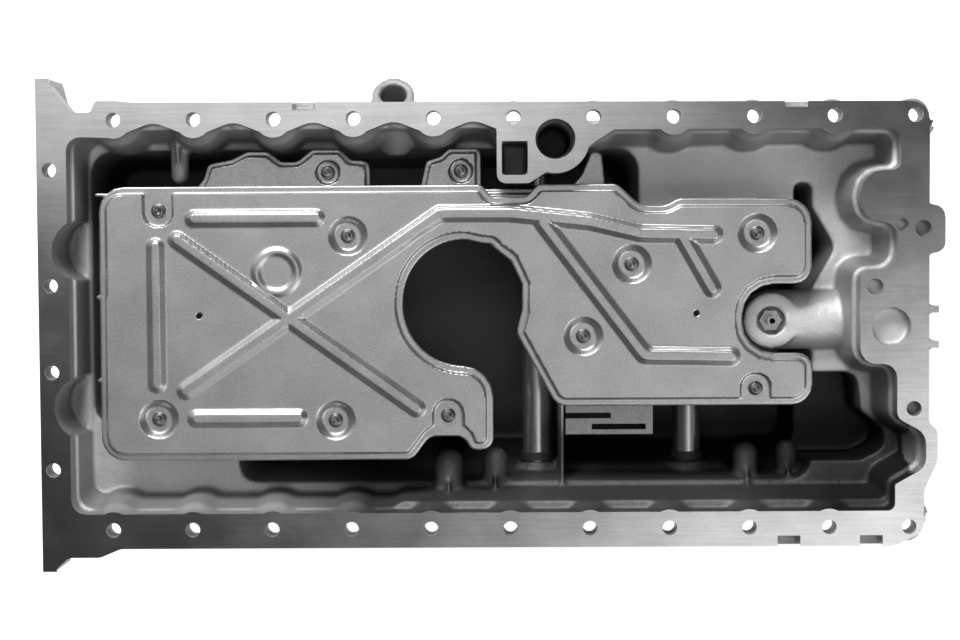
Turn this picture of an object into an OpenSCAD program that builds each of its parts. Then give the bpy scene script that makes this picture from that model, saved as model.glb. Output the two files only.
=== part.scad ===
// Cast aluminium engine oil pan for an inline five, with its windage baffles,
// suction pipes, strainer, tray and plugs. It stands on its sump with the open
// side up. The origin is in the middle of the underside, +X runs along the rail
// and +Y across it. Depths are measured down from the rail face.

/* [Pan] */
// Height from the resting face to the rail face
pan_h = 130; // [110:1:170]
// Wall of the casting
wall_t = 4.5; // [3.5:0.1:6]
// Floor of the sump
floor_t = 5; // [4:0.1:8]
// Depth of the shallow shelves at two corners
shelf_depth = 45; // [38:1:52]
// Depth of the bay at the front right corner
bay_depth = 92; // [80:1:100]

/* [Rail] */
// Width of the rail across its two long edges
rail_w = 256; // [250:1:275]
// Thickness of the rail
rail_t = 12; // [9:0.5:14]
// Width of the rail land beside the mouth on the long sides
rail_land = 20; // [19:0.5:22]
// How far the end ears stand out beyond the long edges
ear_reach = 13; // [9:0.5:18]
// Thickness of the end flange under the ears
end_flange_t = 8; // [6:0.5:12]
// Depth that the end flange reaches down to
end_flange_depth = 78; // [60:1:95]
// How far the tab stands out of the right edge
tab_reach = 9; // [6:0.5:12]
// Height of the two small fins on the right edge, across the rail
fin_t = 4; // [3:0.5:6]
// Depth of the pry recesses in the rail edge
recess_depth = 6; // [4:0.5:8]
// Width of the pry recesses
recess_w = 13; // [9:0.5:16]

/* [Rail bolts] */
// Pitch of the bolts in the two long rows
bolt_pitch = 45.5; // [44:0.5:50]
// Bolts in each long row
bolt_count = 11; // [11:1:12]
// Distance of the two long rows from the long edges
bolt_edge = 10.8; // [10:0.2:12]
// Shift of the back row to the right and the front row to the left
bolt_row_skew = 1.5; // [0:0.5:3]
// Distance from the left face to the first bolt
bolt_start = 42.5; // [40:0.5:46]
// Distance from the last bolt to the right edge
bolt_end = 9.5; // [9:0.5:12]
// Hole for each rail bolt
bolt_hole_d = 8.4; // [6.4:0.2:9.4]
// Depth of the seat under each bolt boss
bolt_seat_depth = 18; // [16:0.5:22]
// Pocket for the bolt head outside the wall
bolt_pocket_d = 18; // [15:0.5:20]
// Distance from the left face to the four end bolts
end_bolt_inset = 7; // [6:0.5:9]

/* [Upper baffle] */
// Depth of the rim of the upper baffle
baffle_depth = 14; // [13:0.5:16]
// Sheet of both baffles
sheet_t = 1.5; // [1:0.1:2]
// Height of the raised field above the rim
field_rise = 3; // [2:0.5:4]
// Width of the rim around the raised field
rim_w = 4.5; // [3.5:0.5:6]
// Width of the stiffening beads
bead_w = 8.6; // [6:0.2:10]
// Height of the stiffening beads
bead_rise = 2.2; // [1.5:0.1:3]
// Radius of the round window
window_r = 35; // [32:0.5:37]
// Flat radius of the dishes around the screws
dish_r = 7.8; // [6:0.2:9]
// Radius of the two drip holes
drip_r = 1.6; // [1:0.1:2.5]

/* [Lower baffle] */
// Depth of the rim of the lower baffle
lower_depth = 24; // [23:0.5:27]
// Height of its raised field
lower_rise = 2.5; // [1.5:0.5:3]

/* [Screws] */
// Thread of the sheet screws
screw_d = 5; // [4:0.5:6]
// Head of the sheet screws
screw_head_d = 8.4; // [7.5:0.2:9.4]
// Height of the screw heads
screw_head_h = 3.2; // [2.5:0.1:4]
// Length of the screws under their heads
screw_l = 14; // [10:1:18]
// Clearance of a screw in its hole, on the diameter
screw_gap = 0.6; // [0.4:0.1:1]
// Top diameter of the cast posts
post_d = 13; // [12:0.5:15]

/* [Pipes] */
// Outside diameter of the two pipes
pipe_d = 17; // [15:0.5:18]
// Wall of the pipes
pipe_t = 1.5; // [1:0.1:2]
// Depth of the pipe axes
pipe_depth = 74; // [70:1:80]
// Place of the suction pipe along the pan, right of the middle
suction_x = 27; // [25:0.5:29]
// Place of the strainer pipe along the pan, right of the middle
strainer_x = 117.5; // [114:0.5:122]
// Clearance of a pipe in its socket, on the diameter
pipe_gap = 0.2; // [0.1:0.05:0.4]
// Length of pipe inside a socket
socket_l = 12; // [9:0.5:14]
// Outside diameter of the cast collar of the suction pipe
suction_collar_d = 23; // [22:0.5:26]
// Outside diameter of the cast collar of the strainer pipe
strainer_collar_d = 28; // [25:0.5:30]
// Width of the rubber seals on the pipes
seal_w = 5; // [3:0.5:6]
// Thickness of the rubber seals
seal_t = 1.4; // [1:0.1:2]
// Outside diameter of the cast gallery that joins the two sockets
gallery_d = 27; // [26:0.5:30]
// Bore of the gallery
gallery_bore = 17; // [14:0.5:18]

/* [Strainer] */
// Outside diameter of the strainer hood
hood_d = 58; // [50:1:64]
// Height of the strainer hood
hood_h = 22; // [16:1:26]
// Gap between the strainer and the sump floor
strainer_gap = 9; // [6:0.5:14]
// Opening of the strainer screen
mesh_w = 4; // [3:0.5:6]

/* [Tray] */
// Depth of the slotted tray
tray_depth = 55; // [53:0.5:58]
// Length of the slotted tray along the pan
tray_l = 52; // [46:1:56]
// Sheet of the tray
tray_t = 1.5; // [1:0.1:2]
// Width of the slots
slot_w = 3.4; // [2.5:0.1:4]
// Height of the front fold
fold_h = 9; // [6:0.5:12]

/* [Ports] */
// Round suction port in the rail
port_d = 22.8; // [20:0.2:24]
// Depth of its seal bore
port_seat = 24; // [18:0.5:28]
// Step between the seal bore and the passage under it, on the diameter
port_step = 3; // [2:0.5:4]
// Wall around the round port
port_wall = 8; // [6:0.5:9]
// Length of the square drain port
drain_port_l = 14.8; // [12:0.2:16]
// Width of the square drain port
drain_port_w = 19.2; // [16:0.2:20]
// Large blind hole in the right land
blind_d = 22.4; // [18:0.2:24]
// Bore of the dipstick socket
dip_bore = 15; // [12:0.5:16]
// Slope of the dipstick socket from the vertical
dip_tilt = 35; // [25:1:40]
// How far the dipstick socket stands out beyond the back edge
dip_reach = 13; // [11:0.5:18]

/* [Drain] */
// Thread of the drain plug
drain_d = 14; // [12:1:18]
// Width across the flats of the drain plug
drain_flats = 17; // [16:1:24]
// Thickness of the drain washer
washer_t = 1.5; // [1:0.1:2.5]

/* [Hidden] */
$fn = 48;

// Spare length that makes a cut pass through a face
cut = 1;
// Points in each rounded corner of a lofted wall
arc_n = 3;

rail_l = bolt_start + (bolt_count - 1) * bolt_pitch + bolt_end;
pan_l = rail_l + tab_reach;
rail_mid_y = 0;
bolt_row_w = rail_w - 2 * bolt_edge;

// Places along the pan from its left face, from the right edge of the rail and from
// the middle of the bolt rows, and across it from its back and front edges
function left(d) = -pan_l / 2 + d;
function right(d) = left(rail_l) - d;
function middle(d) = left(258 + d);
function back(d) = rail_w / 2 - d;
function front(d) = -rail_w / 2 + d;
function down(d) = pan_h - d;

// Bolt stations along the two rows
function back_bolt(i) = [left(bolt_start + i * bolt_pitch + bolt_row_skew), bolt_row_w / 2];
function front_bolt(i) = [left(bolt_start + i * bolt_pitch - bolt_row_skew), -bolt_row_w / 2];
end_bolts = [for (d = [39, 105, 154.5, 210.5]) [left(end_bolt_inset), back(d)]];
row_bolts = concat([for (i = [0:bolt_count - 1]) back_bolt(i)],
    [for (i = [0:bolt_count - 1]) front_bolt(i)]);
rail_bolts = concat(row_bolts, end_bolts);

// A closed outline is a list of corners [x, y, radius], counter-clockwise
function unit(v) = v / norm(v);
function xy(p) = [p.x, p.y];
function arc_at(a, b, c, r, n) =
    let (u = unit(a - b), v = unit(c - b), half = acos(u * v) / 2)
    let (mid = b + unit(u + v) * r / sin(half), reach = r / tan(half))
    let (p = b + u * reach - mid, q = b + v * reach - mid)
    let (start = atan2(p.y, p.x), sweep = (atan2(q.y, q.x) - start + 540) % 360 - 180)
    [for (k = [0:n]) mid + r * [cos(start + sweep * k / n), sin(start + sweep * k / n)]];
function outline(c, n = 4) = [for (i = [0:len(c) - 1])
    let (a = xy(c[(i + len(c) - 1) % len(c)]), b = xy(c[i]), d = xy(c[(i + 1) % len(c)]))
    each arc_at(a, b, d, max(c[i].z, 0.4), n)];
// The same outline moved outwards by g
function grown(c, g) = [for (i = [0:len(c) - 1])
    let (a = xy(c[(i + len(c) - 1) % len(c)]), b = xy(c[i]), d = xy(c[(i + 1) % len(c)]))
    let (u = unit(b - a), v = unit(d - b), m = [u.y, -u.x], n = [v.y, -v.x])
    let (move = (m + n) * g / (1 + m * n), turn = cross(u, v) > 0 ? 1 : -1)
    [b.x + move.x, b.y + move.y, max(c[i].z + turn * g, 0.4)]];

// A solid with drafted sides between two outlines of equal length, each given as
// [height, corners]. Its flat ends are cut square from slightly longer sides
module loft(low, high) {
    a = outline(low[1], arc_n);
    b = outline(high[1], arc_n);
    n = len(a);
    span = high[0] - low[0];
    over = cut / span;
    rings = [for (t = [-over, 1 + over]) [for (k = [0:n - 1])
        let (p = a[k] + (b[k] - a[k]) * t)
        [p.x, p.y, low[0] + span * t]]];
    sides = [for (i = [0:n - 1])
        let (j = (i + 1) % n)
        each [[i, i + n, j + n], [i, j + n, j]]];
    caps = [[for (i = [0:n - 1]) i], [for (i = [n - 1:-1:0]) n + i]];
    intersection() {
        polyhedron(concat(rings[0], rings[1]), concat(sides, caps), convexity = 10);
        translate([left(-40), front(-40), low[0]])
            cube([pan_l + 80, rail_w + 80, span]);
    }
}

// A straight prism of an outline between two heights
module slab(corners, z0, z1) {
    translate([0, 0, z0])
        linear_extrude(z1 - z0)
            polygon(outline(corners));
}

module upright(p, d, z0, z1) {
    translate([p.x, p.y, z0])
        cylinder(d = d, h = z1 - z0);
}

// A cylinder that lies along Y between two places
module along_y(x, z, d, y0, y1) {
    translate([x, y0, z])
        rotate([-90, 0, 0])
            cylinder(d = d, h = y1 - y0);
}

// A cylinder that lies along X between two places
module along_x(y, z, d, x0, x1) {
    translate([x0, y, z])
        rotate([0, 90, 0])
            cylinder(d = d, h = x1 - x0);
}

// Rail and mouth

rail_outline = [
    [left(0), front(-ear_reach), 2], [left(6), front(-ear_reach), 4],
    [left(15), front(-5), 6], [left(33), front(-5), 8], [left(45), front(0), 8],
    [right(20), front(0), 6], [right(3), front(7), 9], [right(2.5), front(32), 12],
    [right(-5), front(48), 16], [right(-5), front(66), 6], [right(0), front(70), 5],
    [right(0), back(3), 11], [left(55), back(1), 20], [left(45), back(0), 6],
    [left(34), back(0), 2], [left(31), back(6.5), 2], [left(21), back(6.5), 3],
    [left(7), back(-ear_reach + 2), 5], [left(0), back(-ear_reach), 1]];

mouth_left = left(17);
mouth_front = front(rail_land);
mouth_back = back(rail_land - 2);

// Right side of the mouth, from the front corner to the back corner
right_bays = [
    [right(19), front(35), 2], [right(1.5), front(45), 9], [right(1.5), front(64), 10],
    [right(18), front(73), 6], [right(18), front(104), 8], [right(39), front(104), 9],
    [right(39), front(157), 5], [right(17), front(157), 11], [right(18), front(185), 9],
    [right(39), front(185), 12], [right(39), front(214), 13], [right(16), front(214), 5]];

// The back edge of the mouth swings out between the first six bolts
wave = [for (i = [5:-1:0]) each [
    [back_bolt(i).x, back(rail_land + 1), 20],
    if (i > 0) [back_bolt(i).x - bolt_pitch / 2, back(rail_land - 8), 14]]];

mouth = concat([[mouth_left, mouth_front, 8], [right(19), mouth_front, 4]], right_bays,
    [[right(16), mouth_back, 8], [right(190), mouth_back, 8]], wave,
    [[mouth_left, back(rail_land), 8]]);

// Walls below the rail, as far in from the mouth as g at the right bays and as
// side at the front, ends at the left and backs at the back
function wall_ring(g, side, ends, backs) = concat(
    [[mouth_left + ends, mouth_front + side, 8], [left(200), mouth_front + side, 6],
     [left(206), mouth_front + side + 3.5, 6], [right(19) - g, mouth_front + side + 3.5, 3]],
    grown(concat([[right(60), mouth_front, 5], [right(19), mouth_front, 5]], right_bays,
        [[right(16), mouth_back, 8], [right(60), mouth_back, 8]]), -g),
    [[left(262), mouth_back - backs, 6], [left(256), mouth_back + 4 - backs, 6],
     [mouth_left + ends, mouth_back + 4 - backs, 9]]);
function bay_ring(g, side, ends, backs) =
    let (full = wall_ring(g, side, ends, backs), n = len(right_bays))
    [for (i = [0:len(full) - 1]) if (i != 4 && i != 5 && i != n + 7) full[i]];
shelf_in = 8.5;
upper_rings = [
    [shelf_depth, bay_ring(7, 6, 3.5, 8.5)],
    [rail_t - 3, bay_ring(2.4, 1.2, 2, 1.4)]];

// The deep sump beside the two corner shelves, drawn in by d at its floor
function sump(d) = [
    [left(108) + d / 2, front(32.5) + d, 10], [right(60) - d / 2, front(32.5) + d, 12],
    [right(60) - d / 2, front(146), 5], [right(46) - d / 2, back(86), 8],
    [right(60) - d / 2, back(62), 4], [right(60) - d / 2, back(48) - d / 2, 3.5],
    [right(70) - d / 2, back(48) - d / 2, 3], [right(70) - d / 2, back(68), 3],
    [left(345) - d / 2, back(68), 10], [left(345) - d / 2, back(27) - d * 0.5, 12],
    [left(22.5) + d / 4, back(27) - d * 0.5, 12], [left(22.5) + d / 4, front(68), 10],
    [left(108) + d / 2, front(68), 8]];
sump_draft = 17;

// The bay at the front right corner
bay = [
    [right(75), front(44), 6], [right(31), front(44), 8], [right(17), front(51), 9],
    [right(17), front(62), 9], [right(31), front(73), 6], [right(33), front(96), 8],
    [right(75), front(96), 8]];

module rail() {
    translate([0, 0, down(rail_t)])
        linear_extrude(rail_t)
            difference() {
                polygon(outline(rail_outline));
                polygon(outline(mouth));
            }
    slab([[right(8), back(91), 1], [right(-tab_reach), back(88), 6],
        [right(-tab_reach), back(62), 7], [right(8), back(61), 1]], down(rail_t), down(0));
    for (p = row_bolts)
        upright(p, bolt_pocket_d + 2, down(bolt_seat_depth), down(rail_t - cut));
    for (p = end_bolts)
        upright(p, end_pocket_d, down(bolt_seat_depth), down(rail_t - cut));
}
end_pocket_d = 2 * end_bolt_inset - 1;

// Blind bosses under the wide land at the right end, with two fins outside
land_depth = 30;
module right_land() {
    slab([[right(48), front(92), 4], [right(4), front(76), 4], [right(4), back(13), 6],
        [right(48), back(13), 6]], down(land_depth), down(rail_t - cut));
    for (d = [121, 141])
        translate([right(6), back(d) - fin_t / 2, down(land_depth)])
            cube([11.5, fin_t, land_depth]);
}

// Upright webs under the two ears at the left end
module end_webs() {
    far = rail_w / 2 + ear_reach;
    near = 98;
    translate([left(0), rail_mid_y, down(0)])
        rotate([90, 0, 90])
            linear_extrude(end_flange_t)
                for (s = [-1, 1])
                    scale([s, 1])
                        polygon([[near, -end_flange_depth], [near + 14, -end_flange_depth],
                            [far, -end_flange_depth / 2], [far, 0], [near, 0]]);
}

module outer_body() {
    loft([down(shelf_depth + floor_t), grown(upper_rings[0][1], wall_t)],
        [down(rail_t - cut), grown(upper_rings[1][1], wall_t)]);
    loft([0, grown(sump(sump_draft), wall_t)],
        [down(shelf_depth + 2), grown(sump(0), wall_t)]);
    slab(grown(bay, wall_t), down(bay_depth + floor_t), down(shelf_depth + 1));
    for (p = scoops)
        upright(p, scoop_d + 2 * wall_t, down(shelf_depth + floor_t + 1), down(rail_t - cut));
}

// Two round scoops in the left wall, between the end bolts
scoop_d = 37;
scoops = [[left(26.5), back(85)], [left(26.5), back(175)]];

// Gusset ribs outside, between the rail and the sump walls
rib_t = 4;
module rib(x, s, inner) {
    outer = [[120, 11], [inner[3] + 4, 104]];
    path = [[inner[0], 11], [inner[1], 49], [inner[2], 51], [inner[3], 104]];
    translate([x - rib_t / 2, 0, 0])
        rotate([90, 0, 90])
            linear_extrude(rib_t)
                polygon([for (q = concat(path, [outer[1], outer[0]])) [s * q.x, down(q.y)]]);
}
module ribs() {
    for (i = [1.5, 3.5, 6.5, 8.5])
        rib(back_bolt(i).x, 1, [112.5, 105.7, 102.7, 95.5]);
    for (i = [1.5, 3.5, 8.5])
        rib(front_bolt(i).x, -1, [108.2, 102.6, 97, 85]);
}

// The sloping socket of the dipstick tube, outside the back edge
dip_x = left(203);
dip_boss_d = dip_bore + 9;
dip_depth = 9;
dip_y = back(-dip_reach) - dip_boss_d / 2 * cos(dip_tilt);
module dip_axis() {
    translate([dip_x, dip_y, down(dip_depth)])
        rotate([-dip_tilt, 0, 0])
            children();
}
module dip_boss() {
    dip_axis()
        translate([0, 0, -44])
            cylinder(d = dip_boss_d, h = 44);
}

// Bulges of the wall around the bolt pockets: a steep shoulder under the rail,
// then a drafted column, kept within the wall on the outside
module bolt_columns() {
    lip_r = 10.5;
    shoulder_r = bolt_pocket_d / 2 + wall_t + 1.5;
    column_depth = shelf_depth + floor_t - 2;
    limit = [[0, down(column_depth)], [-mouth_front - 2, down(column_depth)],
        [-mouth_front + 2.5, down(rail_t)], [-mouth_front + 6, down(0)], [0, down(0)]];
    intersection() {
        for (p = row_bolts)
            translate([p.x, p.y])
                rotate_extrude()
                    polygon([[0, down(column_depth)], [shoulder_r + 4, down(column_depth)],
                        [shoulder_r, down(rail_t)], [lip_r, down(2.5)], [lip_r, down(0)],
                        [0, down(0)]]);
        translate([left(0), 0, 0])
            rotate([90, 0, 90])
                linear_extrude(pan_l)
                    union() {
                        polygon(limit);
                        mirror([1, 0])
                            polygon(limit);
                    }
    }
}

// Column that carries the round suction port and the square drain port
port = [left(295.2), back(23.1)];
drain_port = [left(272.1), back(33.8)];
port_column_depth = pipe_depth + pipe_d / 2 + 6;
module port_column() {
    side = drain_port_l / 2 + 2.8;
    low = back(48);
    z0 = down(port_column_depth);
    upright(port, port_d + 2 * port_wall, z0, down(0));
    slab([[drain_port.x - side, low, 5], [drain_port.x + side - 2, low, 4],
        [port.x - 4, low + 7, 6], [port.x, back(10), 1], [drain_port.x - side, back(10), 1]],
        z0, down(0));
    slab([[port.x + 9, port.y - 13, 2], [port.x + 22, port.y - 2, 9],
        [port.x + 35, back(17), 1], [port.x + 35, back(10), 1], [port.x + 9, back(10), 1]],
        z0, down(0));
}

// Cast posts that the screws of the sheets run into
baffle_seats = [
    [left(67), 65.6], [left(176), 50.5], [left(339), 33.4],
    [left(411), 50.7], [left(311), -7.9], [left(66), -54.6],
    [left(168), -55.7], [left(233), -53.2], [left(410), -38.5]];
lower_seats = [[left(164), back(40.8)], [left(241), back(40.4)]];
module post(p, top) {
    translate([p.x, p.y, floor_t - cut])
        cylinder(r1 = post_d / 2 + (down(top) - floor_t) * 0.03, d2 = post_d,
            h = down(top) - floor_t + cut);
}
module posts() {
    for (p = baffle_seats)
        post(p, baffle_depth + sheet_t);
    for (p = lower_seats)
        post(p, lower_depth + sheet_t);
    for (p = tray_seats)
        post(p, tray_depth + tray_t);
}

// Blind side bosses on the front and back walls, each with a thin web above
module side_boss(x, tip, wall, depth, d) {
    s = tip > wall ? 1 : -1;
    translate([x, wall, down(depth)])
        rotate([-90 * s, 0, 0]) {
            cylinder(d = d, h = abs(tip - wall) - d / 2);
            translate([0, 0, abs(tip - wall) - d / 2])
                sphere(d = d);
        }
    translate([x - 0.9, 0, 0])
        rotate([90, 0, 90])
            linear_extrude(1.8)
                polygon([[wall, down(depth)], [tip - s * d, down(depth)],
                    [tip - s * d, down(depth - d / 2 - 1)], [wall, down(depth - d / 2 - 14)]]);
}
module side_bosses() {
    side_boss(left(232.4), front(52.5), front(24), 43, 17.5);
    side_boss(left(259.7), front(52.5), front(24), 50, 15.5);
    side_boss(left(409), front(54.5), front(24), 56, 15);
    side_boss(left(434), front(55), front(24), 60, 14);
    side_boss(left(75.5), back(47), back(14), 42, 11);
}

// Half-round oil way that runs in from the right land, with the seat of the nozzle
way_y = rail_mid_y - 0.5;
way_x = left(421.3);
way_depth = 46;
way_d = 35;
module oil_way() {
    along_x(way_y, down(way_depth), way_d, way_x, right(30));
    upright([way_x, way_y], way_d - 2, down(way_depth + 6), down(way_depth - way_d / 2 + 1));
    translate([0, way_y + 3, 0])
        rotate([90, 0, 0])
            linear_extrude(6)
                polygon([[way_x + 4, floor_t - cut], [right(66), floor_t - cut],
                    [right(58), down(way_depth)], [way_x + 4, down(way_depth)]]);
    translate([way_x - 24, way_y - 9, down(way_depth + 10)])
        cube([26, 1.6, 16]);
}

// Wall beside the suction pipe, thin at its crest
divider_x = middle(suction_x + 14.5);
divider_depth = 42;
divider_l = 77.5;
module divider() {
    foot = mouth_front + 27.5;
    head = mouth_front + 10.5;
    intersection() {
        translate([divider_x, head, 0])
            rotate([90, 0, 0])
                mirror([0, 0, 1])
                    linear_extrude(divider_l)
                        polygon([[-3.4, floor_t - cut], [3.2, floor_t - cut],
                            [1, down(divider_depth)], [-1, down(divider_depth)]]);
        translate([divider_x - 5, 0, 0])
            rotate([90, 0, 90])
                linear_extrude(10)
                    polygon([[foot, floor_t - 2 * cut], [head + divider_l, floor_t - 2 * cut],
                        [head + divider_l, down(divider_depth) + cut],
                        [head, down(divider_depth) + cut], [head, down(shelf_depth)]]);
    }
}

// Collars on the front wall that the two pipes plug into
collar_y = front(42);
module collars() {
    along_y(middle(suction_x), down(pipe_depth), suction_collar_d, front(24), collar_y);
    along_y(middle(strainer_x), down(pipe_depth), strainer_collar_d, front(24), collar_y);
}

// Low boss on the sump floor for the foot of the strainer
foot_x = middle(strainer_x);
foot_y = back(92);
foot_boss_h = 8;
module foot_boss() {
    upright([foot_x, foot_y], 14, floor_t - cut, floor_t + foot_boss_h);
}

// Gallery along the outside of the front wall, which joins the two pipe sockets
gallery_y = front(28);
gallery_x0 = middle(suction_x) - gallery_d / 2;
gallery_x1 = middle(strainer_x) + 24;
module gallery() {
    along_x(gallery_y, down(pipe_depth), gallery_d, gallery_x0, gallery_x1);
}
module gallery_bores() {
    along_x(gallery_y, down(pipe_depth), gallery_bore, gallery_x0 + 5, gallery_x1 + cut);
    along_x(gallery_y, down(pipe_depth), plug_d, gallery_x1 - plug_l, gallery_x1 + cut);
    for (x = [middle(suction_x), middle(strainer_x)])
        along_y(x, down(pipe_depth), pipe_d + pipe_gap, collar_y - socket_l, collar_y + cut);
}

// Boss of the drain plug, low on the front wall
drain_x = left(140);
drain_z = 17;
drain_face = front(34);
module drain_boss() {
    along_y(drain_x, drain_z, 30, drain_face, front(60));
}

module recess(x, side, z0) {
    y = side > 0 ? back(recess_depth) : front(recess_depth);
    translate([x - recess_w / 2, side > 0 ? y : y - recess_depth - cut, z0])
        cube([recess_w, recess_depth + cut, pan_h]);
}

module ports() {
    upright(port, port_d, down(port_seat), down(-cut));
    upright(port, port_d - port_step, down(pipe_depth + pipe_d / 2), down(port_seat - cut));
    translate([drain_port.x - drain_port_l / 2, drain_port.y - drain_port_w / 2, down(60)])
        cube([drain_port_l, drain_port_w, 60 + cut]);
    along_y(middle(suction_x), down(pipe_depth), pipe_d + pipe_gap, back(46), back(20));
    upright([right(21.3), back(131)], blind_d, down(9), down(-cut));
    for (h = [[15.3, 72.9, 7.2], [3.4, 75.1, 9.4], [30.6, 108, 9.3], [8.4, 177.6, 8.6]])
        upright([right(h[0]), back(h[1])], h[2], down(rail_t - 4), down(-cut));
    upright([way_x, way_y], nozzle_seat_d, down(way_depth - way_d / 2 + 8), down(-cut));
    upright([way_x, way_y], nozzle_d, down(way_depth), down(-cut));
    dip_axis()
        translate([0, 0, -60])
            cylinder(d = dip_bore, h = 60 + cut);
}

module drilled() {
    for (p = rail_bolts)
        upright(p, bolt_hole_d, down(bolt_seat_depth + cut), down(-cut));
    for (p = row_bolts)
        upright(p, bolt_pocket_d, down(58), down(bolt_seat_depth));
    for (p = end_bolts)
        upright(p, end_pocket_d + 0.5, down(58), down(bolt_seat_depth));
    for (p = baffle_seats)
        upright(p, screw_d, down(baffle_depth + sheet_t + screw_l), down(0));
    for (p = lower_seats)
        upright(p, screw_d, down(lower_depth + sheet_t + screw_l), down(0));
    for (p = tray_seats)
        upright(p, screw_d, down(tray_depth + tray_t + screw_l), down(0));
    upright([foot_x, foot_y], screw_d, floor_t + 1, floor_t + foot_boss_h + cut);
    along_y(drain_x, drain_z, drain_d, front(20), front(64));
    for (s = [-1, 1], h = [[127, 16], [108, 52]])
        along_x(rail_mid_y + s * h[0], down(h[1]), 10.5, left(-cut), left(end_flange_t + cut));
}

module pan_casting() color("silver") {
    difference() {
        union() {
            difference() {
                union() {
                    rail();
                    outer_body();
                    right_land();
                    end_webs();
                }
                loft([down(upper_rings[0][0]), upper_rings[0][1]],
                    [down(upper_rings[1][0]), upper_rings[1][1]]);
                loft([floor_t, sump(sump_draft)], [down(shelf_depth - 2), sump(-0.4)]);
                slab(bay, down(bay_depth), down(shelf_depth - 3));
                slab(mouth, down(rail_t + cut), down(-cut));
                for (p = scoops)
                    upright(p, scoop_d, down(shelf_depth - 1), down(-cut));
            }
            ribs();
            dip_boss();
            gallery();
            drain_boss();
            bolt_columns();
            port_column();
            posts();
            side_bosses();
            oil_way();
            divider();
            collars();
            foot_boss();
        }
        for (i = [[152.5, 1], [431.5, 1], [427.5, -1], [474.5, -1]])
            recess(left(i[0]), i[1], down(rail_t / 2));
        for (x = [left(66), left(154)])
            recess(x, -1, -cut);
        ports();
        gallery_bores();
        drilled();
    }
}

// Upper baffle: one stamped sheet with a raised field, dished screw seats and beads

function notch_back(x, y, w) = [
    [x + w, 79.5, 1], [x + w, y, w - 0.3], [x - w, y, w - 0.3], [x - w, 79.5, 1]];
function notch_front(x, y, w) = [
    [x - w, -48.3, 1], [x - w, y, w - 0.3], [x + w, y, w - 0.3], [x + w, -48.3, 1]];
window = [middle(-14.5), 12];
window_edge = window_r + 1;
// The outline, with the open screw pads cut in where pads is true
function baffle_outline(pads) = concat(
    [[left(32), -79, 14], [left(212), -79, 8]],
    pads ? [[left(222), -65.5, 5], [left(228.5), -61, 3], [left(228.5), -48, 4.3],
            [left(237.5), -48, 4.3], [left(237.5), -61, 3], [left(243), -65.5, 5]]
         : [[left(222), -65.5, 8], [left(242), -65.5, 8]],
    [[left(246), -73.5, 5], [left(259), -73.5, 7],
     [left(259), window.y - window_edge - 1, 18],
     [window.x - window_edge, window.y - window_edge, window_r],
     [window.x - window_edge, window.y + window_edge, window_r],
     [window.x + window_edge + 6.5, window.y + window_edge, window_r - 2],
     [left(272.5), -6, 7], [left(295.5), -48.3, 10]],
    pads ? notch_front(baffle_seats[8].x, baffle_seats[8].y + 4.5, 4.5) : [],
    [[right(64), -48.3, 12], [right(64), -18.3, 9],
     [right(104.5), -18.3, 18], [right(104.5), 21.5, 18],
     [right(64.5), 21.5, 10], [right(64.5), 70.5, 14],
     [left(366), 71, 8], [left(359), 67, 10], [left(344), 67, 14],
     [left(331), 79.5, 8], [left(285), 79.5, 6], [left(279), 72.5, 6],
     [left(258.5), 72.5, 6], [left(253), 79.5, 6]],
    pads ? notch_back(baffle_seats[0].x, baffle_seats[0].y - 5, 4.3) : [],
    [[left(32.5), 79.5, 14]]);

beads = [
    [[left(88), 61], [left(158), 61]],
    [[left(65.5), 45], [left(65.5), -34]],
    [[left(88), -54], [left(147), -54]],
    [[left(78), 49], [left(215), -49]],
    [[left(82), -38], [left(229), 63], [left(269), 63],
     [left(315), 58], [left(344), 51], [left(386), 50]],
    [[left(288), 57.5], [left(346), -19], [left(396), -20]],
    [[left(368), 49], [left(385), 19]]];
ring_bead = [left(135), 30];
ring_bead_r = 11.8;
drips = [[left(90), 5], [left(376), 5]];
dished = [1, 2, 3, 4, 5, 6];

// The outline of a strip of width w along a row of points, with round ends
function across(p, q) = let (u = unit(q - p)) [-u.y, u.x];
function strip(path, w) =
    let (n = len(path) - 1, half = w / 2)
    let (side = [for (i = [0:n])
        i == 0 ? across(path[0], path[1]) :
        i == n ? across(path[n - 1], path[n]) :
        let (a = across(path[i - 1], path[i]), b = across(path[i], path[i + 1]))
        (a + b) / (1 + a * b)])
    let (ends = [unit(path[0] - path[1]), unit(path[n] - path[n - 1])])
    let (p = [for (i = [0:n]) path[i] + (i == 0 ? -ends[0] : i == n ? -ends[1] : [0, 0]) * 0])
    concat(
        [for (i = [0:n]) let (q = p[i] - side[i] * half + tip(i, n, ends) * half)
            [q.x, q.y, i == 0 || i == n ? half * 0.95 : 6]],
        [for (i = [n:-1:0]) let (q = p[i] + side[i] * half + tip(i, n, ends) * half)
            [q.x, q.y, i == 0 || i == n ? half * 0.95 : 6]]);
function tip(i, n, ends) = i == 0 ? ends[0] : i == n ? ends[1] : [0, 0];
// All stamped beads as one flat-topped layer
module bead_layer(w, z0, z1) {
    translate([0, 0, z0])
        linear_extrude(z1 - z0)
            for (b = beads)
                polygon(outline(strip(b, w), 3));
}

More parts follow.
